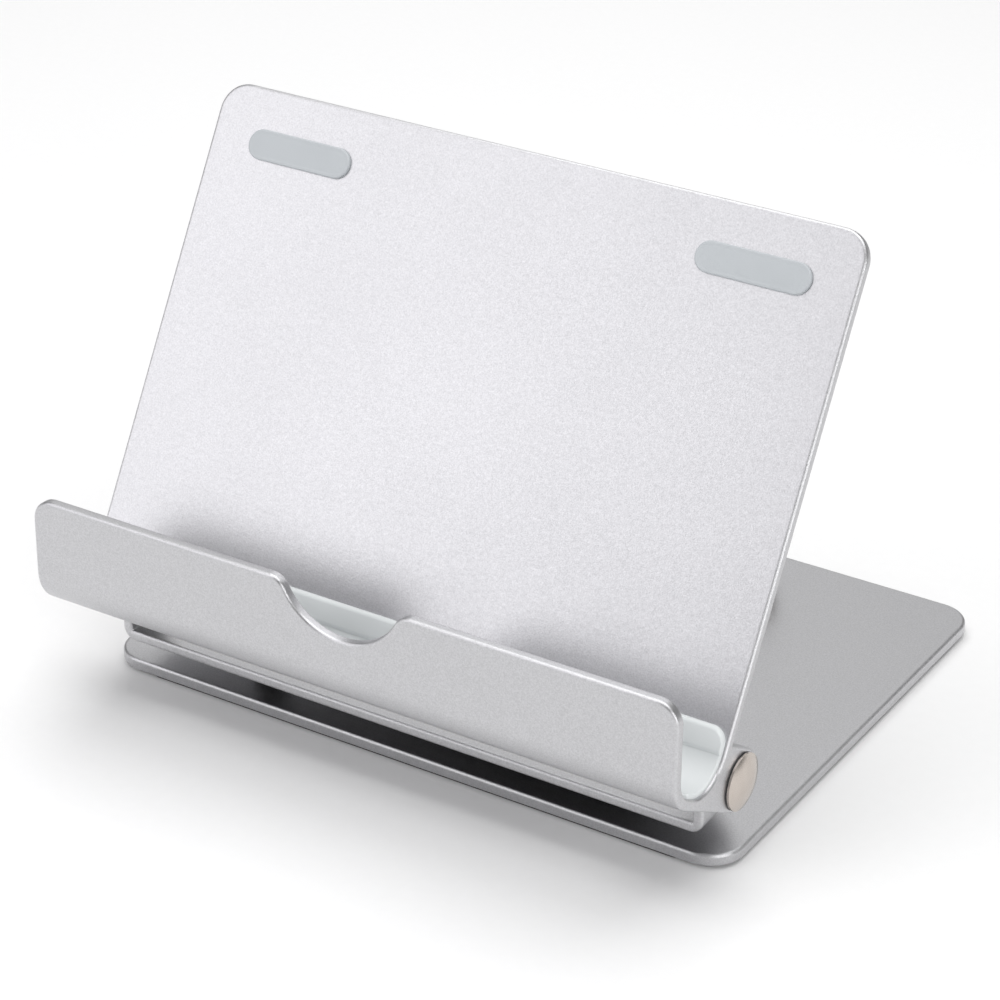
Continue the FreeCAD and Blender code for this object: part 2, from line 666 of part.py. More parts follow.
def draw_cradle_profile(body):
    profile = new_sketch(body, "YZ_Plane", "profile")
    points = cradle_profile_points()
    under = add_polygon(profile, points)
    lip_outside, lip_edge, lip_inside = under + 1, under + 2, under + 3
    floor_line, plate_line, top_line, rear_line = under + 4, under + 5, under + 6, under + 7
    for line in (under, floor_line, top_line):
        fix(profile, "Horizontal", (line,))
    for line in (plate_line, rear_line):
        fix(profile, "Vertical", (line,))
    fix(profile, "Perpendicular", (lip_outside, lip_edge))
    fix(profile, "Parallel", (lip_outside, lip_inside))
    sheet_size = dim("sheet_thick")
    fix(profile, "DistanceY", (under, 1, -1, 1, dim("lug_radius")), "dims.lug_radius")
    fix(profile, "DistanceX", (plate_line, 1, -1, 1, dim("axis_offset")), "dims.axis_offset")
    fix(profile, "DistanceY", (-1, 1, plate_line, 2, dim("plate_reach")), "dims.plate_reach")
    fix(profile, "DistanceX", (top_line, 1, top_line, 2, sheet_size), "dims.sheet_thick")
    fix(profile, "DistanceY", (under, 1, plate_line, 1, sheet_size), "dims.sheet_thick")
    fix(profile, "Distance", (lip_edge, sheet_size), "dims.sheet_thick")
    fix(profile, "DistanceX", (floor_line, 1, floor_line, 2, dim("channel_width")), "dims.channel_width")
    lean, rise = dim("lip_height") * math.sin(flare), dim("lip_height") * math.cos(flare)
    lean_formula = "dims.lip_height * sin(dims.lip_flare * 1 deg)"
    rise_formula = "dims.lip_height * cos(dims.lip_flare * 1 deg)"
    fix(profile, "DistanceX", (lip_outside, 2, lip_outside, 1, lean), lean_formula)
    fix(profile, "DistanceY", (lip_outside, 1, lip_outside, 2, rise), rise_formula)
    return profile, points


def corner_edge_test(point):
    """Edges that run left to right through a corner of the profile."""
    return lambda box, mid: near(mid.x, 0) and near(mid.y, point.x) and near(mid.z, point.y)


def quarter_arc(centre, radius):
    """Arc from straight below the centre round to its +Y side."""
    diagonal = vec(math.cos(math.pi / 4), -math.sin(math.pi / 4))
    return Part.Arc(centre - vec(0, radius), centre + diagonal * radius, centre + vec(radius, 0))


def add_lugs(body):
    """Hinge lugs at the cradle's ends: round behind, merged with the bend in front."""
    radius = dim("lug_radius")
    bend_centre = vec(plate_front - dim("channel_bend"), floor_top + dim("channel_bend"))
    mid_radius = dim("channel_bend") + dim("sheet_thick") / 2
    inside_x = plate_front + dim("sheet_thick") / 2
    bend_low = bend_centre - vec(0, mid_radius)
    bend_side = bend_centre + vec(mid_radius, 0)
    for name, side in SIDES.items():
        profile = new_sketch(body, "YZ_Plane", name + "_lug", side * half_width)
        profile.addGeometry([
            Part.Arc(vec(0, -radius), vec(radius, 0), vec(0, radius)),
            Part.LineSegment(vec(0, radius), vec(inside_x, radius)),
            Part.LineSegment(vec(inside_x, radius), bend_side),
            quarter_arc(bend_centre, mid_radius),
            Part.LineSegment(bend_low, vec(bend_low.x, -radius)),
            Part.LineSegment(vec(bend_low.x, -radius), vec(0, -radius)),
        ])
        fix(profile, "Radius", (0, radius), "dims.lug_radius")
        pad(body, profile, "dims.lug_thick", reverse=side > 0)


def cut_notch(body, lip_top):
    """Round finger notch through the lip only, square to the lip, with softened top corners."""
    on_lip = FreeCAD.Placement(vec(0, lip_top.y, -lip_top.x), FreeCAD.Rotation(X_AXIS, dim("lip_flare")))
    sketch = new_sketch(body, "XZ_Plane", "notch", tilt=on_lip)
    radius = dim("notch_radius")
    add_circle(sketch, 0, radius - dim("notch_depth"), radius, "dims.notch_radius")
    cut = pocket(body, sketch, "2 * dims.sheet_thick")
    return round_edges(
        body, cut,
        lambda box, mid: near(box.XLength, 0) and radius / 2 < abs(mid.x) < radius and mid.y < lip_inside_y,
        "dims.notch_round")


def make_cradle():
    """Plate, channel and lip bent from one sheet, with a hinge lug at each end."""
    body = new_body("cradle", cradle_place)
    profile, points = draw_cradle_profile(body)
    feature = pad(body, profile, "dims.stand_width", symmetric=True)
    heel_outer, lip_outer, lip_inner, heel_inner = points[0], points[1], points[4], points[5]
    feature = round_edges(body, feature, corner_edge_test(heel_inner), "dims.channel_bend")
    feature = round_edges(body, feature, corner_edge_test(heel_outer), "dims.channel_bend + dims.sheet_thick")
    feature = round_edges(body, feature, corner_edge_test(lip_inner), "dims.lip_bend")
    feature = round_edges(body, feature, corner_edge_test(lip_outer), "dims.lip_bend + dims.sheet_thick")
    reach = dim("plate_reach")
    feature = round_edges(
        body, feature,
        lambda box, mid: near(abs(mid.x), half_width) and near(mid.z, reach) and near(box.XLength, 0),
        "dims.plate_corner")
    lip_top = points[2]
    lip_edge_middle = (lip_top + points[3]) * 0.5
    round_edges(
        body, feature,
        lambda box, mid: near(abs(mid.x), half_width) and near(mid.y, lip_edge_middle.x)
        and near(mid.z, lip_edge_middle.y),
        "dims.lip_corner")
    add_lugs(body)
    cut_notch(body, lip_top)
    bore = new_sketch(body, "YZ_Plane", "bore")
    add_circle(bore, 0, 0, dim("bolt_dia") / 2 + dim("play"), "dims.bolt_dia / 2 + dims.play")
    feature = pocket(body, bore, "2 * dims.stand_width", symmetric=True)
    feature = round_edges(body, feature, on_plate_rim, "dims.edge_round")
    round_edges(body, feature, lambda box, mid: on_lip_rim(box, mid, lip_top), "dims.edge_round")


def on_plate_rim(box, mid):
    """Edges round the plate's free end, except the short ones across the sheet."""
    reach = dim("plate_reach")
    return box.ZMax > reach - 0.01 and mid.z > reach - dim("plate_corner") and not near(box.XLength, 0)


def on_lip_rim(box, mid, lip_top):
    """Edges along the lip's free rim and round its notch, except the short ones across the sheet."""
    below_top = (lip_top - vec(mid.y, mid.z)).dot(lip_up)
    on_lip = mid.y < lip_inside_y and not near(box.XLength, 0)
    in_notch = abs(mid.x) < dim("notch_radius") and mid.z > lip_inside_z
    return on_lip and (below_top < dim("lip_corner") or in_notch)


def make_channel_liner():
    """Soft moulding in the channel: a thick strip on the plate, thinner round the bend and floor."""
    body = new_body("channel_liner", cradle_place)
    back = plate_front - dim("liner_back_thick")
    step = plate_front - dim("liner_floor_thick")
    bend = dim("channel_bend")
    bend_centre = vec(plate_front - bend, floor_top + bend)
    inner = bend - dim("liner_floor_thick")
    floor_end = plate_front - dim("channel_width") + dim("lip_bend") * math.tan(flare) + 2 * dim("play")
    top, ledge = dim("liner_top"), dim("liner_step")
    surface = floor_top + dim("liner_floor_thick")
    profile = new_sketch(body, "YZ_Plane", "profile")
    add_path(profile, [
        Part.LineSegment(vec(plate_front, top), vec(back, top)),
        Part.LineSegment(vec(back, top), vec(back, ledge)),
        Part.LineSegment(vec(back, ledge), vec(step, ledge)),
        Part.LineSegment(vec(step, ledge), bend_centre + vec(inner, 0)),
        quarter_arc(bend_centre, inner),
        Part.LineSegment(bend_centre - vec(0, inner), vec(floor_end, surface)),
        Part.LineSegment(vec(floor_end, surface), vec(floor_end, floor_top)),
        Part.LineSegment(vec(floor_end, floor_top), bend_centre - vec(0, bend)),
        quarter_arc(bend_centre, bend),
        Part.LineSegment(bend_centre + vec(bend, 0), vec(plate_front, top)),
    ])
    fix(profile, "DistanceY", (-1, 1, 0, 1, top), "dims.liner_top")
    block = pad(body, profile, "dims.liner_length", symmetric=True)
    half = dim("liner_length") / 2
    round_edges(
        body, block,
        lambda box, mid: near(abs(mid.x), half) and near(box.XLength, 0) and near(box.ZMin, top),
        "dims.liner_corner")


def make_upper_pad(label, side):
    """Raised rounded pad that keeps the tablet off the plate."""
    body = new_body(label, cradle_place)
    outline = new_sketch(body, "XZ_Plane", "outline", dim("axis_offset"))
    middle, rise = side * dim("pad_spacing") / 2, dim("pad_rise")
    end, radius = dim("pad_length") / 2 - dim("pad_width") / 2, dim("pad_width") / 2
    right, left = middle + end, middle - end
    add_path(outline, [
        Part.LineSegment(vec(left, rise - radius), vec(right, rise - radius)),
        Part.Arc(vec(right, rise - radius), vec(right + radius, rise), vec(right, rise + radius)),
        Part.LineSegment(vec(right, rise + radius), vec(left, rise + radius)),
        Part.Arc(vec(left, rise + radius), vec(left - radius, rise), vec(left, rise - radius)),
    ])
    fix(outline, "Radius", (1, radius), "dims.pad_width / 2")
    block = pad(body, outline, "dims.pad_thick")
    face_y = plate_front - dim("pad_thick")
    round_edges(
        body, block,
        lambda box, mid: flat_at(box, "YMin", "YMax", face_y),
        "dims.edge_round / 2")


def make_tilt_hinge(name, side):
    """Stack on one end of the tilt axis, from the domed head inwards to the lock nut."""
    face = tilt_axis + vec(side * half_width, 0, 0)
    washer("tilt_outer_washer_" + name, "dims.head_dia / 2", "dims.outer_washer", face, side)
    head = face + vec(side * dim("outer_washer"), 0, 0)
    span = "dims.outer_washer + dims.lug_thick + dims.friction_washer + dims.sheet_thick + 2 * dims.play"
    domed_bolt("tilt_hinge_bolt_" + name, head, side, "head_dia", span + " + " + CLAMP_STACK)
    start = tilt_axis + vec(side * (half_arm + dim("play")), 0, 0)
    rim = "dims.ear_radius - dims.washer_inset"
    washer("tilt_friction_washer_" + name, rim, "dims.friction_washer", start, side)
    start = tilt_axis + vec(side * (half_arm - dim("sheet_thick") - dim("play")), 0, 0)
    washer("tilt_plain_washer_" + name, "dims.bolt_dia", "dims.plain_washer", start, -side)
    start = start - vec(side * dim("plain_washer"), 0, 0)
    disc_spring("tilt_disc_spring_" + name, start, -side)
    start = start - vec(side * dim("spring_height"), 0, 0)
    lock_nut("tilt_hinge_nut_" + name, start, -side)


make_base_plate()
make_foot("front_foot_strip", base_front + dim("foot_setback") + dim("foot_width") / 2)
make_foot("rear_foot_strip", base_rear - dim("foot_setback") - dim("foot_width") / 2)
for side_name, side_sign in SIDES.items():
    make_base_lug(side_name + "_base_lug", side_sign)
    make_bumper(side_name + "_arm_bumper", side_sign)
make_base_screws()
make_arm_plate()
make_arm_knuckle()
make_arm_screws()
make_lift_hinge()
make_cradle()
make_channel_liner()
for side_name, side_sign in SIDES.items():
    make_upper_pad(side_name + "_upper_pad", side_sign)
    make_tilt_hinge(side_name, side_sign)

doc.recompute()
for item in doc.Objects:
    if "Invalid" in item.State or "Error" in item.State:
        raise RuntimeError(item.Label + " failed: " + str(item.State))
os.makedirs("parts", exist_ok=True)
for part in sub_parts:
    if part.Shape.isNull() or not part.Shape.isValid():
        raise RuntimeError(part.Label + " has no valid shape")
    part.Shape.exportStep("parts/" + part.Label + ".step")
    print(part.Label, len(part.Shape.Solids), round(part.Shape.Volume, 1))
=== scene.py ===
import json
import math

import bmesh
import bpy
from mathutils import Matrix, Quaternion, Vector


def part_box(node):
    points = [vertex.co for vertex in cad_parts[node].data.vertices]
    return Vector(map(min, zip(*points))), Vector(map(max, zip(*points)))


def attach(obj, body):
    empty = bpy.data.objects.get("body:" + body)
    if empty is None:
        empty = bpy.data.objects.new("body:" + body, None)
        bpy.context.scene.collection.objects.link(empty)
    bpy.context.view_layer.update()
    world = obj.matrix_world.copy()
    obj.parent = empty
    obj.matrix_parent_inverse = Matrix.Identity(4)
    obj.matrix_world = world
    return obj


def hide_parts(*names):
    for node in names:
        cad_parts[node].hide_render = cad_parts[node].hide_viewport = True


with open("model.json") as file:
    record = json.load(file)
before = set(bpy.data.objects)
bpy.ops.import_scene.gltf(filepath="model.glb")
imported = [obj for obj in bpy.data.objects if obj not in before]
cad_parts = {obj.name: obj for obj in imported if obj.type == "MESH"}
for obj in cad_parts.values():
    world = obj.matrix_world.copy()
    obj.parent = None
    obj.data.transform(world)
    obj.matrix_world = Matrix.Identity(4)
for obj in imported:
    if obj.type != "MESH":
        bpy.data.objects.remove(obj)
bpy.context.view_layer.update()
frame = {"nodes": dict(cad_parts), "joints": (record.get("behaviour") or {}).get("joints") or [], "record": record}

# Looks of the folding tablet stand: metals, silicone, rubber, light and camera.
# Everything is in metres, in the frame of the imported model.

joints = {joint["name"]: joint for joint in frame["joints"]}
tilt_axis = Vector(joints["cradle_tilt"]["pos_m"])
scene = bpy.context.scene


# ---------------------------------------------------------------- node helpers

# Sockets of a colour Mix node, whose inputs share their names with the other data types.
MIX_FACTOR, MIX_FIRST, MIX_SECOND, MIX_RESULT = 0, 6, 7, 2


def new_material(name):
    """A material with a plain Principled shader: returns the material, its shader and its tree."""
    material = bpy.data.materials.new(name)
    material.use_nodes = True
    tree = material.node_tree
    shader = tree.nodes["Principled BSDF"]
    return material, shader, tree


def add_node(tree, kind, inputs=None, **settings):
    """Adds a node, sets its properties, and links or sets its inputs by name."""
    node = tree.nodes.new(kind)
    for key, value in settings.items():
        setattr(node, key, value)
    for key, value in (inputs or {}).items():
        if isinstance(value, bpy.types.NodeSocket):
            tree.links.new(value, node.inputs[key])
        else:
            node.inputs[key].default_value = value
    return node


def noise(tree, where, scale, detail=2.0, roughness=0.5, stretch=(1, 1, 1)):
    """Noise value at a place in the object's own metres, stretched along its axes."""
    mapping = add_node(tree, "ShaderNodeMapping", {"Vector": where, "Scale": stretch})
    made = add_node(
        tree, "ShaderNodeTexNoise",
        {"Vector": mapping.outputs[0], "Scale": scale, "Detail": detail, "Roughness": roughness})
    return made.outputs["Fac"]


def remap(tree, value, low, high, to_low, to_high):
    """Stretches a value from one range to another, and clamps it there."""
    made = add_node(
        tree, "ShaderNodeMapRange",
        {"Value": value, "From Min": low, "From Max": high, "To Min": to_low, "To Max": to_high})
    return made.outputs["Result"]


def blend_colour(tree, factor, first, second):
    """Mixes two colours; each is a red, green, blue tuple or a colour socket."""
    made = add_node(tree, "ShaderNodeMix", data_type="RGBA")
    tree.links.new(factor, made.inputs[MIX_FACTOR])
    for index, colour in ((MIX_FIRST, first), (MIX_SECOND, second)):
        if isinstance(colour, bpy.types.NodeSocket):
            tree.links.new(colour, made.inputs[index])
        else:
            made.inputs[index].default_value = (*colour, 1)
    return made.outputs[MIX_RESULT]


def mottled(tree, value, low_colour, high_colour, middle=0.5, spread=0.2):
    """Two colours mixed by a noise value, over a stretch of it either side of a middle."""
    factor = remap(tree, value, middle - spread, middle + spread, 0.0, 1.0)
    return blend_colour(tree, factor, low_colour, high_colour)


def arithmetic(tree, operation, first, second):
    """One maths node; each of its two inputs is a number or a socket."""
    made = add_node(tree, "ShaderNodeMath", operation=operation)
    for index, value in enumerate((first, second)):
        if isinstance(value, bpy.types.NodeSocket):
            tree.links.new(value, made.inputs[index])
        else:
            made.inputs[index].default_value = value
    return made.outputs[0]


def edge_mask(tree, radius, sharpness):
    """0 on flats, 1 on edges, from how far the softened normal leans; also that normal."""
    soft = add_node(tree, "ShaderNodeBevel", {"Radius": radius}, samples=4)
    true = add_node(tree, "ShaderNodeNewGeometry")
    dot = add_node(tree, "ShaderNodeVectorMath", operation="DOT_PRODUCT")
    tree.links.new(soft.outputs[0], dot.inputs[0])
    tree.links.new(true.outputs["Normal"], dot.inputs[1])
    return remap(tree, dot.outputs["Value"], 1.0, 1.0 - sharpness, 0.0, 1.0), soft.outputs[0]


def place_of(tree):
    """The object's own coordinates, in metres."""
    return add_node(tree, "ShaderNodeTexCoord").outputs["Object"]


def bump(tree, height, distance, strength, normal=None):
    """Normals tilted by a height value, of which 1 is distance metres high."""
    inputs = {"Height": height, "Distance": distance, "Strength": strength}
    if normal:
        inputs["Normal"] = normal
    return add_node(tree, "ShaderNodeBump", inputs).outputs[0]


def connect(tree, shader, colour, roughness, normal):
    """Links what a shader's colour, roughness and normal come from."""
    for name, value in (("Base Color", colour), ("Roughness", roughness), ("Normal", normal)):
        tree.links.new(value, shader.inputs[name])


# ---------------------------------------------------------------- materials

def bead_blasted_aluminium():
    """Clear anodised sheet: fine sparkling grain, faint clouds, smoother along edges, and paler there, partly as
    worn edges and partly as a painted highlight.
    """
    material, shader, tree = new_material("bead_blasted_aluminium")
    where = place_of(tree)
    grain = noise(tree, where, 2300, 2.0, 0.6)
    coarse = noise(tree, where, 900, 2.0, 0.5)
    clouds = noise(tree, where, 14, 3.0, 0.5)
    edges, soft_normal = edge_mask(tree, 0.0008, 0.12)
    flat = mottled(tree, grain, (0.490, 0.489, 0.501), (0.605, 0.604, 0.618))
    # Paler colour along the edges: partly worn-edge tone, partly a painted highlight.
    edge_wear_and_highlight = arithmetic(tree, "MULTIPLY", edges, 0.55)
    colour = blend_colour(tree, edge_wear_and_highlight, flat, (0.76, 0.76, 0.77))
    base_roughness = remap(tree, clouds, 0.3, 0.7, 0.32, 0.36)
    spread = remap(tree, coarse, 0.3, 0.7, -0.03, 0.03)
    blasted = arithmetic(tree, "ADD", base_roughness, spread)
    polished = arithmetic(tree, "MULTIPLY", edges, 0.12)
    roughness = arithmetic(tree, "SUBTRACT", blasted, polished)
    height = arithmetic(tree, "ADD", arithmetic(tree, "MULTIPLY", coarse, 0.6), grain)
    connect(tree, shader, colour, roughness, bump(tree, height, 0.00003, 0.8, soft_normal))
    shader.inputs["Metallic"].default_value = 1.0
    return material


def machined_aluminium():
    """Turned and milled blocks: fine lines across the hinge axis, paler along edges, partly as worn edges and
    partly as a painted highlight.
    """
    material, shader, tree = new_material("machined_aluminium")
    where = place_of(tree)
    lines = noise(tree, where, 250, 3.0, 0.6, stretch=(30, 1, 1))
    fine = noise(tree, where, 2600, 1.0)
    edges, soft_normal = edge_mask(tree, 0.0005, 0.12)
    flat = mottled(tree, lines, (0.55, 0.55, 0.56), (0.65, 0.65, 0.66), spread=0.15)
    # Paler colour along the edges: partly worn-edge tone, partly a painted highlight.
    edge_wear_and_highlight = arithmetic(tree, "MULTIPLY", edges, 0.6)
    colour = blend_colour(tree, edge_wear_and_highlight, flat, (0.80, 0.80, 0.81))
    roughness = remap(tree, lines, 0.3, 0.7, 0.28, 0.40)
    height = arithmetic(tree, "ADD", lines, arithmetic(tree, "MULTIPLY", fine, 0.3))
    connect(tree, shader, colour, roughness, bump(tree, height, 0.00002, 0.6, soft_normal))
    shader.inputs["Metallic"].default_value = 1.0
    return material


def silicone(name, low, high):
    """Smooth moulded silicone with a faint skin texture."""
    material, shader, tree = new_material(name)
    where = place_of(tree)
    pores = noise(tree, where, 1800, 3.0)
    clouds = noise(tree, where, 45, 2.0)
    colour = mottled(tree, clouds, low, high)
    roughness = remap(tree, pores, 0.3, 0.7, 0.46, 0.58)
    connect(tree, shader, colour, roughness, bump(tree, pores, 0.00001, 0.6))
    shader.inputs["Subsurface Weight"].default_value = 0.12
    shader.inputs["Subsurface Radius"].default_value = (0.002, 0.002, 0.002)
    return material


def dark_polymer(name, colour, roughness, grain_scale):
    """Matt black rubber or nylon with a fine moulded grain."""
    material, shader, tree = new_material(name)
    where = place_of(tree)
    grain = noise(tree, where, grain_scale, 3.0)
    dust = noise(tree, where, 120, 4.0, 0.6)
    dusty = [channel * 1.6 + 0.006 for channel in colour]
    shade = mottled(tree, dust, colour, dusty, middle=0.6, spread=0.15)
    varied = remap(tree, grain, 0.3, 0.7, roughness - 0.06, roughness + 0.06)
    connect(tree, shader, shade, varied, bump(tree, grain, 0.00004, 0.7))
    return material


def nickel_plate():
    """Warm satin nickel: almost polished, with faint orange peel and hairlines."""
    material, shader, tree = new_material("nickel_plate")
    where = place_of(tree)
    peel = noise(tree, where, 240, 1.0)
    hair = noise(tree, where, 600, 2.0, 0.6, stretch=(1, 1, 14))
    colour = mottled(tree, peel, (0.54, 0.485, 0.44), (0.58, 0.525, 0.48))
    roughness = remap(tree, hair, 0.3, 0.7, 0.16, 0.26)
    height = arithmetic(tree, "ADD", peel, arithmetic(tree, "MULTIPLY", hair, 0.25))
    connect(tree, shader, colour, roughness, bump(tree, height, 0.000006, 0.25))
    shader.inputs["Metallic"].default_value = 1.0
    return material


def plated_steel():
    """Zinc plated steel: cool, slightly mottled crystals with a thin yellow cast."""
    material, shader, tree = new_material("plated_steel")
    where = place_of(tree)
    crystals = noise(tree, where, 700, 4.0, 0.65)
    clouds = noise(tree, where, 160, 2.0)
    colour = mottled(tree, crystals, (0.50, 0.50, 0.49), (0.64, 0.635, 0.61), spread=0.15)
    roughness = remap(tree, clouds, 0.3, 0.7, 0.26, 0.38)
    connect(tree, shader, colour, roughness, bump(tree, crystals, 0.00002, 0.5))
    shader.inputs["Metallic"].default_value = 1.0
    return material


MATERIALS = {
    "bead_blasted_aluminium": bead_blasted_aluminium(),
    "machined_aluminium": machined_aluminium(),
    "grey_silicone": silicone("grey_silicone", (0.65, 0.675, 0.68), (0.69, 0.715, 0.72)),
    "black_rubber": dark_polymer("black_rubber", (0.022, 0.022, 0.023), 0.72, 1500),
    "black_nylon": dark_polymer("black_nylon", (0.018, 0.018, 0.019), 0.48, 2200),
    "nickel_plate": nickel_plate(),
    "plated_steel": plated_steel(),
}

# The upper pads are a darker grey than the channel's liner.
PAD_SILICONE = silicone("pad_silicone", (0.45, 0.475, 0.495), (0.48, 0.505, 0.525))

for subpart in frame["record"]["subparts"]:
    for material_slot in frame["nodes"][subpart["node"]].material_slots:
        material_slot.material = MATERIALS[subpart["material_slot"]]


# ---------------------------------------------------------------- moulded pieces

# How steep the plate is at rest. The cradle is drawn upright, with the tilt axis at the origin.
REST_ANGLE = math.radians(60)
# Front face of the plate (y), upper face of the channel's floor (z), inner radius between them.
PLATE_FRONT = -0.014
CHANNEL_FLOOR = -0.0058
CHANNEL_BEND = 0.012

# The liner's section: places are y or z on the upright cradle.
LINER_HALF_LENGTH = 0.1015
LINER_TOP = 0.0132
LINER_STEP = 0.0064
LINER_FLOOR_END = -0.0287
LINER_BACK_THICK = 0.0020
LINER_FLOOR_THICK = 0.0012
LINER_CORNER = 0.0045
LINER_RIM = 0.0014
LINER_TOE = 0.0006
LINER_END_ROUND = 0.0005
BEND_STEPS = 20

# The upper pads: x and z of their middles, and their size.
PAD_PLACE = 0.0722
PAD_RISE = 0.130
PAD_LENGTH = 0.0342
PAD_WIDTH = 0.0088
PAD_THICK = 0.0010
# From the pad's edge inwards: distance from the outline, and height as a share of the thickness.
PAD_RINGS = [
    (0.0, 0.0), (0.0, 0.62), (0.00004, 0.78), (0.00014, 0.90), (0.00030, 0.97), (0.00050, 0.99),
    (0.00075, 0.98), (0.00100, 0.955), (0.00130, 0.955), (0.0016, 0.97), (0.0028, 0.99), (0.0040, 1.0)]
PAD_END_STEPS = 14

FOOT_CORNER = 0.0025
FOOT_SOFT_EDGE = 0.0003
# Places across a foot strip, as shares of its half depth; a groove's two widths are from its middle.
FOOT_GROOVES = (-0.5, 0, 0.5)
GROOVE_MOUTH, GROOVE_BED, FOOT_EDGE = 0.13, 0.07, 0.94

BUMPER_EDGE = 0.001
BUMPER_DIMPLE = 0.0004
# From the foot up: radius and height as shares of the bumper's own.
BUMPER_STEM = [(1, 0.45), (0.96, 0.52), (0.86, 0.56), (0.84, 0.80), (0.90, 0.86), (1, 0.90), (1, 1)]
BUMPER_STEPS = 48


def on_cradle(x, y, z):
    """Leans a place on the upright cradle back to where it is at rest."""
    turn = REST_ANGLE - math.pi / 2
    leaned_y = y * math.cos(turn) - z * math.sin(turn)
    leaned_z = y * math.sin(turn) + z * math.cos(turn)
    return tilt_axis + Vector((x, leaned_y, leaned_z))


def box_of(node):
    """A node's lowest and highest corners, as vectors."""
    low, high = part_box(node)
    return Vector(low), Vector(high)


def arc(centre, radius, start, end, steps):
    """Points of an arc from start to end, in degrees."""
    angles = [math.radians(start + (end - start) * step / steps) for step in range(steps + 1)]
    return [(centre[0] + radius * math.cos(a), centre[1] + radius * math.sin(a)) for a in angles]


def round_depths(radius, angles):
    """How far in from its end a rounding is, at each angle."""
    return [radius * (1 - math.cos(math.radians(angle))) for angle in angles]


def round_inset(radius, depth):
    """How much a rounding takes off the side, at a depth in from the end."""
    left = max(radius - depth, 0)
    return radius - math.sqrt(radius ** 2 - left ** 2)


def both_ends(sections):
    """Sections from the right end inwards, repeated from the left end so that they span the piece."""
    return [(-x, outline) for x, outline in sections] + sections[::-1]


def add_piece(built, node, body, slot, material=None):
    """Turns a bmesh into a piece that stands for a CAD node and rides its body."""
    bmesh.ops.remove_doubles(built, verts=built.verts, dist=1e-6)
    bmesh.ops.recalc_face_normals(built, faces=built.faces)
    name = node + "_moulding"
    mesh = bpy.data.meshes.new(name)
    built.to_mesh(mesh)
    built.free()
    for polygon in mesh.polygons:
        polygon.use_smooth = True
    mesh.set_sharp_from_angle(angle=math.radians(40))
    mesh.materials.append(material or MATERIALS[slot])
    piece = bpy.data.objects.new(name, mesh)
    scene.collection.objects.link(piece)
    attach(piece, body)
    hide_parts(node)


def skin(place_rings):
    """A bmesh through equal closed rings of places, with a cap on the first and on the last."""
    built = bmesh.new()
    rings = [[built.verts.new(place) for place in ring] for ring in place_rings]
    count = len(rings[0])
    for first, second in zip(rings, rings[1:]):
        for index in range(count):
            following = (index + 1) % count
            built.faces.new((first[index], first[following], second[following], second[index]))
    built.faces.new(rings[0])
    built.faces.new(reversed(rings[-1]))
    return built


def lathe(profile, centre, steps):
    """A bmesh turned about the vertical through centre, from (radius, height) pairs."""
    angles = [2 * math.pi * step / steps for step in range(steps)]
    return skin([
        [centre + Vector((radius * math.cos(a), radius * math.sin(a), height)) for a in angles]
        for radius, height in profile])


def liner_outline(top, shrink):
    """Section of the liner as (y, z), with its top edge at top and its soft faces drawn in by shrink."""
    centre = (PLATE_FRONT - CHANNEL_BEND, CHANNEL_FLOOR + CHANNEL_BEND)
    back = PLATE_FRONT - LINER_BACK_THICK + shrink
    ledge = PLATE_FRONT - LINER_FLOOR_THICK + shrink
    thin = LINER_FLOOR_THICK - shrink
    toe = (LINER_FLOOR_END + LINER_TOE, CHANNEL_FLOOR + thin - LINER_TOE)
    outline = [(PLATE_FRONT, top), (PLATE_FRONT - 0.0003, top)]
    outline += arc((back + LINER_RIM, top - LINER_RIM), LINER_RIM, 100, 180, 8)
    outline += [
        (back, LINER_STEP + 0.0010),
        (back + 0.0002, LINER_STEP + 0.0003),
        (ledge - 0.0001, LINER_STEP - 0.0004)]
    outline += arc(centre, CHANNEL_BEND - thin, 0, -90, BEND_STEPS)
    outline += arc(toe, LINER_TOE, 90, 180, 4)
    outline += [(LINER_FLOOR_END, CHANNEL_FLOOR)]
    return outline + arc(centre, CHANNEL_BEND, -90, 0, BEND_STEPS)


def make_channel_liner():
    """Thick strip on the plate with a rolled rim, thinner round the bend and on the floor."""
    depths = round_depths(LINER_END_ROUND, range(0, 91, 15)) + round_depths(LINER_CORNER, range(30, 91, 10))
    sections = []
    for depth in depths:
        top = LINER_TOP - round_inset(LINER_CORNER, depth)
        outline = liner_outline(top, round_inset(LINER_END_ROUND, depth))
        sections.append((LINER_HALF_LENGTH - depth, outline))
    rings = [[on_cradle(x, y, z) for y, z in outline] for x, outline in both_ends(sections)]
    add_piece(skin(rings), "channel_liner", "cradle", "grey_silicone")


def stadium(length, width):
    """Outline of a bar with round ends, about its middle."""
    end, radius = length / 2 - width / 2, width / 2
    right = arc((end, 0), radius, -90, 90, PAD_END_STEPS)
    return right + arc((-end, 0), radius, 90, 270, PAD_END_STEPS)


def make_upper_pad(sign, side_name):
    """Round-ended pad: soft shoulder, shallow groove inside it, faintly crowned middle."""
    rings = []
    for inset, height in PAD_RINGS:
        outline = stadium(PAD_LENGTH - 2 * inset, PAD_WIDTH - 2 * inset)
        face = PLATE_FRONT - PAD_THICK * height
        rings.append([on_cradle(sign * PAD_PLACE + x, face, PAD_RISE + z) for x, z in outline])
    add_piece(skin(rings), side_name + "_upper_pad", "cradle", "grey_silicone", PAD_SILICONE)


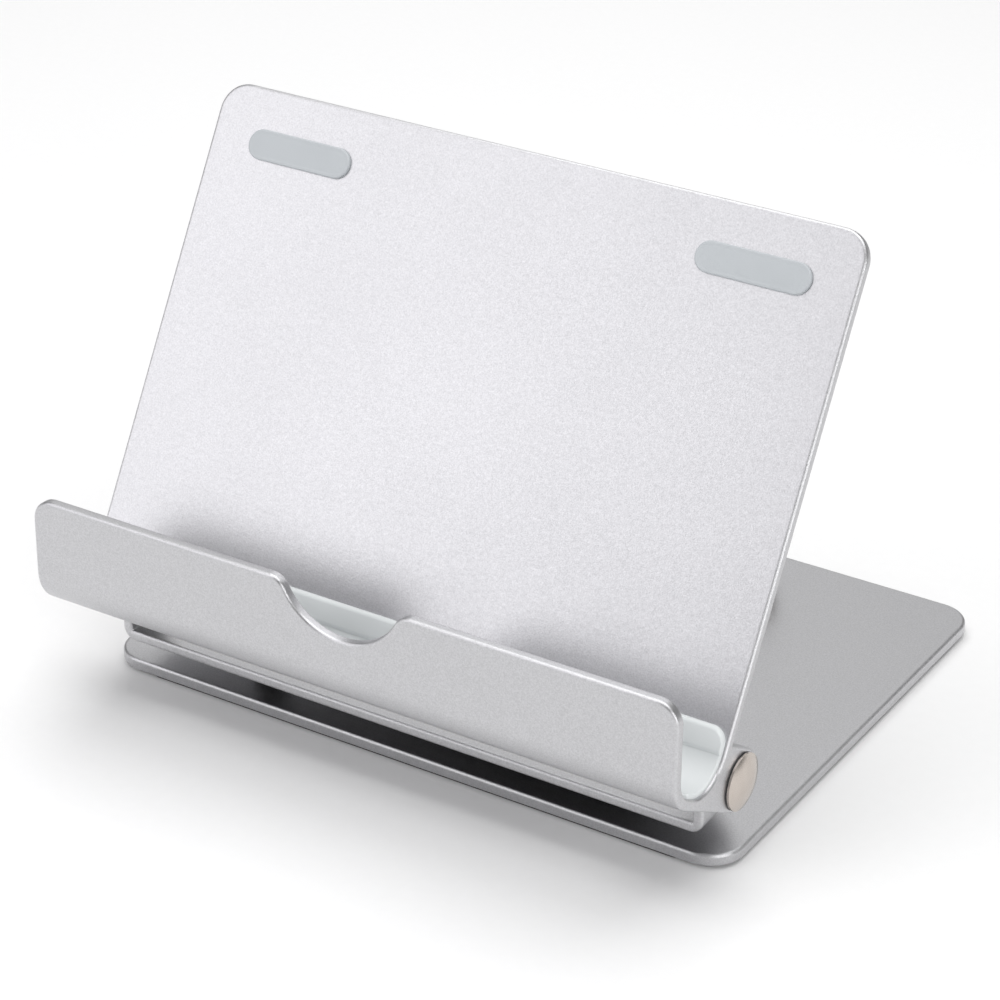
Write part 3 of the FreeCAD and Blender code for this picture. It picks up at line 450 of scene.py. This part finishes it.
def make_foot_strip(node):
    """Rubber strip with rounded corners, a soft lower edge and three grooves along its underside."""
    low, high = box_of(node)
    half_depth, half_length, middle_y = (high.y - low.y) / 2, (high.x - low.x) / 2, (low.y + high.y) / 2
    across = [-1, -FOOT_EDGE]
    for groove in FOOT_GROOVES:
        across += [groove + step for step in (-GROOVE_MOUTH, -GROOVE_BED, GROOVE_BED, GROOVE_MOUTH)]
    across += [FOOT_EDGE, 1]
    depths = round_depths(FOOT_CORNER, range(0, 91, 15))
    sections = []
    for depth in depths:
        width = half_depth - round_inset(FOOT_CORNER, depth)
        grooved = depth == depths[-1]
        outline = [(middle_y + width, high.z), (middle_y - width, high.z)]
        for place in across:
            from_groove = min(abs(place - groove) for groove in FOOT_GROOVES)
            in_bed = grooved and from_groove < (GROOVE_MOUTH + GROOVE_BED) / 2
            lift = FOOT_SOFT_EDGE if abs(place) == 1 or in_bed else 0
            outline.append((middle_y + place * width, low.z + lift))
        sections.append((half_length - depth, outline))
    rings = [[Vector((x, y, z)) for y, z in outline] for x, outline in both_ends(sections)]
    add_piece(skin(rings), node, "base", "black_rubber")


def make_arm_bumper(side_name):
    """Push-in bumper: a waisted stem on a soft rounded foot with a dimple."""
    node = side_name + "_arm_bumper"
    low, high = box_of(node)
    radius, height = (high.x - low.x) / 2, high.z - low.z
    centre = Vector(((low.x + high.x) / 2, (low.y + high.y) / 2, low.z))
    profile = [(0.25 * radius, BUMPER_DIMPLE), (0.45 * radius, 0.0)]
    for angle in range(0, 91, 15):
        turn = math.radians(angle)
        profile.append((radius * (0.8 + 0.2 * math.sin(turn)), BUMPER_EDGE * (1 - math.cos(turn))))
    profile += [(radius * share, height * rise) for share, rise in BUMPER_STEM]
    add_piece(lathe(profile, centre, BUMPER_STEPS), node, "arm", "black_rubber")


make_channel_liner()
for side_sign, side in ((-1, "left"), (1, "right")):
    make_upper_pad(side_sign, side)
    make_arm_bumper(side)
for strip in ("front_foot_strip", "rear_foot_strip"):
    make_foot_strip(strip)


# ---------------------------------------------------------------- floor, light and camera

WORLD_STRENGTH = 0.32
# What the softboxes face, and for each: name, place from there, width, height, power in watts, colour.
LIT_PLACE = Vector((0, -0.02, 0.08))
SOFTBOXES = [
    ("key", (-0.72, -0.88, 0.55), 1.05, 1.0, 4.8, (0.985, 0.975, 1.0)),
    ("top", (0.00, 0.10, 1.30), 1.7, 1.7, 18.5, (1, 1, 1)),
    ("right", (1.20, -0.55, 0.34), 1.1, 0.9, 7.0, (1, 1, 1)),
    ("back", (-0.62, 1.00, 0.62), 1.0, 0.8, 1.25, (1, 1, 1)),
]

FLOOR_REACH = 4.0

CAMERA_TARGET = Vector((0.0055, -0.0221, 0.0667))
CAMERA_DISTANCE = 0.9064
CAMERA_AZIMUTH = math.radians(31.70)
CAMERA_ELEVATION = math.radians(27.97)
CAMERA_ROLL = math.radians(0.56)
LENS_MM, SENSOR_MM = 117.28, 36


def make_floor():
    """Plain pale table top."""
    mesh = bpy.data.meshes.new("floor")
    corners = [(x * FLOOR_REACH, y * FLOOR_REACH, 0) for x, y in ((-1, -1), (1, -1), (1, 1), (-1, 1))]
    mesh.from_pydata(corners, [], [(0, 1, 2, 3)])
    floor = bpy.data.objects.new("floor", mesh)
    scene.collection.objects.link(floor)
    material, shader, tree = new_material("white_table")
    paper = noise(tree, place_of(tree), 300, 2.0)
    colour = blend_colour(tree, paper, (0.89, 0.89, 0.89), (0.91, 0.91, 0.91))
    tree.links.new(colour, shader.inputs["Base Color"])
    shader.inputs["Roughness"].default_value = 0.9
    shader.inputs["Specular IOR Level"].default_value = 0.2
    mesh.materials.append(material)


def add_softbox(name, offset, width, height, power, colour):
    """Rectangular area light that faces LIT_PLACE."""
    light = bpy.data.lights.new(name, "AREA")
    light.shape = "RECTANGLE"
    light.size, light.size_y = width, height
    light.energy = power
    light.color = colour
    lamp = bpy.data.objects.new(name, light)
    scene.collection.objects.link(lamp)
    lamp.location = LIT_PLACE + Vector(offset)
    lamp.rotation_mode = "QUATERNION"
    lamp.rotation_quaternion = (LIT_PLACE - lamp.location).to_track_quat("-Z", "Y")


def make_light():
    """Soft studio: an even pale surround and four softboxes."""
    world = bpy.data.worlds.new("studio")
    scene.world = world
    world.use_nodes = True
    background = world.node_tree.nodes["Background"]
    background.inputs["Color"].default_value = (1, 1, 1, 1)
    background.inputs["Strength"].default_value = WORLD_STRENGTH
    for softbox in SOFTBOXES:
        add_softbox(*softbox)


def make_camera():
    """The photo's view: in front, from the right and above."""
    back = Vector((
        math.sin(CAMERA_AZIMUTH) * math.cos(CAMERA_ELEVATION),
        -math.cos(CAMERA_AZIMUTH) * math.cos(CAMERA_ELEVATION),
        math.sin(CAMERA_ELEVATION)))
    data = bpy.data.cameras.new("camera")
    data.sensor_width = SENSOR_MM
    data.lens = LENS_MM
    camera = bpy.data.objects.new("camera", data)
    scene.collection.objects.link(camera)
    camera.location = CAMERA_TARGET + back * CAMERA_DISTANCE
    camera.rotation_mode = "QUATERNION"
    roll = Quaternion((0, 0, 1), CAMERA_ROLL)
    camera.rotation_quaternion = (-back).to_track_quat("-Z", "Y") @ roll
    scene.camera = camera


make_floor()
make_light()
make_camera()
scene.view_settings.view_transform = "Standard"
